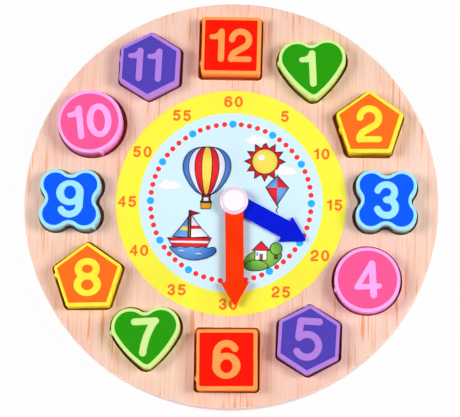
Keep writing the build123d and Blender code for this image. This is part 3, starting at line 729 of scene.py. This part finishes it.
cap_white = cap_plastic(
    "cap plastic", middle=rgb(254, 251, 254), line_reflection=rgb(238, 186, 208), rim_reflection=rgb(247, 212, 228)
)
for node_name in ("hub_cap", "hand_washer"):
    dress(node_name, cap_white)
print("cap of", round(cap_radius * 2 / mm, 1), "mm, arbor at", round(arbor.x / mm, 2), "mm")

# %% Works
gear_white = moulded("gear plastic", rgb(236, 232, 222), rgb(224, 218, 204))
metal_wear = 0.12


def turned_metal(name, colour, shade, roughness):
    """Metal with fine marks, drawn out along the arbor, that dull it here and there."""
    material, tree, place = new_material(name)
    marks = stretched_noise(tree, place, (4000, 4000, 300))
    inputs = {
        "Base Color": mix_colour(tree, marks, colour, shade),
        "Roughness": ramp_value(
            tree, marks, low=0.3, high=0.7, to_low=roughness, to_high=roughness + metal_wear
        ),
        "Metallic": 1.0,
    }
    return principled(material, inputs, marks, strength=0.1)


steel = turned_metal("bright steel", rgb(196, 198, 202), rgb(168, 170, 174), 0.28)
brass = turned_metal("turned brass", rgb(214, 178, 98), rgb(190, 150, 76), 0.3)
works = {
    gear_white: ("idler_gear", "hour_wheel", "gear_cover"),
    steel: ("minute_arbor", "idler_pin", "friction_washer", "cover_screws"),
    brass: ("minute_pinion", "centre_bush"),
}
for material, node_names in works.items():
    for node_name in node_names:
        dress(node_name, material)
    print(material.name, "on", len(node_names), "pieces")

# %% [markdown]
# ## The floor and the backdrop
#
# The floor is a plain white sheet. To the camera it also glows a little, so that it reads as paper
# white while it keeps the clock's shadow. A plane would do, but it would lie exactly in the clock's
# underside and the two would flicker through each other, so the sheet is two circles, bridged, with
# a hole that the clock covers. The world does as the floor does: white where it is seen, and a
# faint violet fill for the shadows elsewhere.

# %% Floor
scene.view_settings.view_transform = "Standard"

floor_radius = 6.0
circle_segments = 128
edge_round = 0.6 * mm
tucked_under = 1.1 * edge_round
hole_radius = board_radius - tucked_under
floor_mesh = bmesh.new()
for radius in (floor_radius, hole_radius):
    bmesh.ops.create_circle(floor_mesh, segments=circle_segments, radius=radius)
bmesh.ops.bridge_loops(floor_mesh, edges=floor_mesh.edges)
bmesh.ops.recalc_face_normals(floor_mesh, faces=floor_mesh.faces)
floor_data = bpy.data.meshes.new("floor")
floor_mesh.to_mesh(floor_data)
floor_mesh.free()
floor = bpy.data.objects.new("floor", floor_data)
scene.collection.objects.link(floor)
print("floor faces", len(floor_data.polygons), "hole", round(hole_radius / mm, 2), "mm")


# %% Floor paper
def seen_mask(tree):
    """1 for the rays that show a surface: straight, in a reflection or through glass."""
    rays = add_node(tree, "ShaderNodeLightPath").outputs
    seen = math_node(tree, "MAXIMUM", rays["Is Camera Ray"], rays["Is Glossy Ray"])
    return math_node(tree, "MAXIMUM", seen, rays["Is Transmission Ray"])


glow_share = 0.94
floor_paper, floor_tree, floor_place = new_material("floor paper")
floor_tone = stretched_noise(floor_tree, floor_place, (3, 3, 3))
paper = mix_colour(floor_tree, floor_tone, rgb(250, 250, 250), rgb(244, 244, 244))
principled(floor_paper, {"Base Color": paper, "Roughness": 0.8})
glow = add_node(floor_tree, "ShaderNodeEmission", {"Color": white, "Strength": 1.0})
glow_mask = math_node(floor_tree, "MULTIPLY", seen_mask(floor_tree), glow_share)
blend_inputs = {
    0: glow_mask, 1: floor_tree.nodes["Principled BSDF"].outputs[0], 2: glow.outputs[0]
}
blend = add_node(floor_tree, "ShaderNodeMixShader", blend_inputs)
surface_socket = floor_tree.nodes["Material Output"].inputs["Surface"]
floor_tree.links.new(blend.outputs[0], surface_socket)
floor_data.materials.append(floor_paper)

# %% World
sky_strength = 0.12
sky_fill = rgb(236, 198, 255)
world = bpy.data.worlds.new("studio")
world.use_nodes = True
scene.world = world
sky = world.node_tree
sky_seen = seen_mask(sky)
background = sky.nodes["Background"].inputs
sky.links.new(ramp_value(sky, sky_seen, 0.0, 1.0, to_low=sky_strength), background["Strength"])
sky.links.new(mix_colour(sky, sky_seen, sky_fill, white), background["Color"])

# %% [markdown]
# ## The lights
#
# Two large soft lights stand left and right of the clock, low enough for every block to throw a
# soft shadow to both sides. Two weaker ones, further off and lower still, light the sides that face
# six and twelve o'clock. One more below the floor reaches the underside alone, through the hole.

# %% Lights
lights = {  # azimuth from +X and elevation in degrees, distance and size in metres, watts
    "light left": (175, 37, 1.3, 0.55, 11.7),
    "light right": (4, 37, 1.3, 0.55, 13.0),
    "light front": (-90, 8, 2.4, 0.6, 25.0),
    "light back": (90, 15, 2.4, 1.0, 6.0),
    "light below": (200, -55, 1.3, 0.55, 16.0),
}


def soft_light(name, azimuth, elevation, distance, size, watts):
    """A square area light that looks at the dial."""
    data = bpy.data.lights.new(name, "AREA")
    data.shape = "SQUARE"
    data.size = size
    data.energy = watts
    light = bpy.data.objects.new(name, data)
    azimuth, elevation = math.radians(azimuth), math.radians(elevation)
    flat = math.cos(elevation)
    towards = Vector((flat * math.cos(azimuth), flat * math.sin(azimuth), math.sin(elevation)))
    turn = towards.to_track_quat("Z", "Y").to_matrix().to_4x4()
    light.matrix_world = Matrix.Translation(dial_centre + towards * distance) @ turn
    scene.collection.objects.link(light)


for light_name, settings in lights.items():
    soft_light(light_name, *settings)
print(len(lights), "lights")
